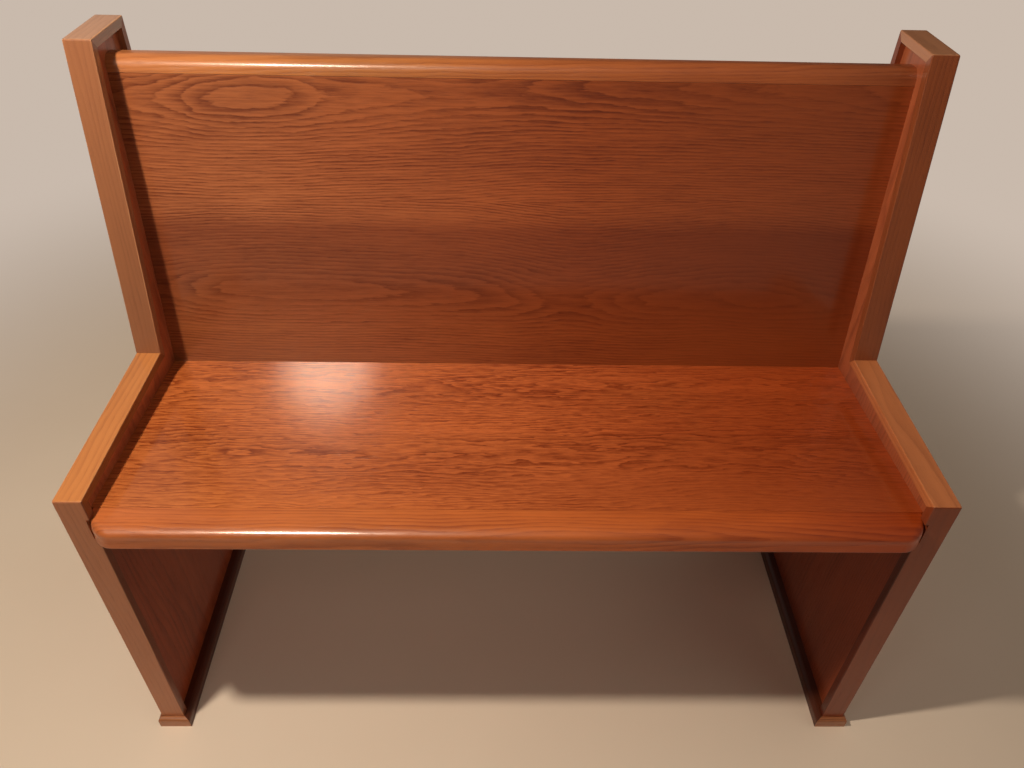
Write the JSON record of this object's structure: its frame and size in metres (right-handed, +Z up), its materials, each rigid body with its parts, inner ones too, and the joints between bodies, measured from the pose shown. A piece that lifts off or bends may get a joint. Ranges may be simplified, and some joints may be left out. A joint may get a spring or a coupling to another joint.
{
  "type": "monks bench",
  "caption": "Short wooden settle with solid L-shaped panelled ends that serve as arms and feet, a sloping seat with a rounded nosing and a leaning panelled back with a rounded cap.",
  "frame": {"origin": "on the floor, midway between the two ends and midway between the front of the seat nosing and the back of the shoe mouldings", "axes": "+X to the right of someone standing in front of the bench, -Y towards its front, +Z up"},
  "size_m": [1.064, 0.4766, 0.91],
  "materials": {
    "end_oak": "satin varnish",
    "seat_oak": "satin varnish",
    "back_oak": "satin varnish",
    "support_wood": "bare, planed",
    "screw_steel": "zinc plated"
  },
  "bodies": {
    "root": {"back_cap": "back_oak", "back_panel": "back_oak", "left_arm_cap": "end_oak", "left_back_cleat": "support_wood", "left_back_cleat_screw_1": "screw_steel", "left_back_cleat_screw_2": "screw_steel", "left_back_cleat_screw_3": "screw_steel", "left_end_panel": "end_oak", "left_foot_rail": "end_oak", "left_front_stile": "end_oak", "left_rear_edge": "end_oak", "left_seat_cleat": "support_wood", "left_seat_cleat_screw_1": "screw_steel", "left_seat_cleat_screw_2": "screw_steel", "left_seat_cleat_screw_3": "screw_steel", "left_shoe_front": "end_oak", "left_shoe_inner": "end_oak", "left_shoe_outer": "end_oak", "left_shoe_rear": "end_oak", "left_top_cap": "end_oak", "left_upright_edge": "end_oak", "rear_rail_screw_1": "screw_steel", "rear_rail_screw_2": "screw_steel", "rear_rail_screw_3": "screw_steel", "rear_rail_screw_4": "screw_steel", "right_arm_cap": "end_oak", "right_back_cleat": "support_wood", "right_back_cleat_screw_1": "screw_steel", "right_back_cleat_screw_2": "screw_steel", "right_back_cleat_screw_3": "screw_steel", "right_end_panel": "end_oak", "right_foot_rail": "end_oak", "right_front_stile": "end_oak", "right_rear_edge": "end_oak", "right_seat_cleat": "support_wood", "right_seat_cleat_screw_1": "screw_steel", "right_seat_cleat_screw_2": "screw_steel", "right_seat_cleat_screw_3": "screw_steel", "right_shoe_front": "end_oak", "right_shoe_inner": "end_oak", "right_shoe_outer": "end_oak", "right_shoe_rear": "end_oak", "right_top_cap": "end_oak", "right_upright_edge": "end_oak", "seat_nosing": "seat_oak", "seat_panel": "seat_oak", "seat_rear_rail": "support_wood"}
  },
  "joints": []
}
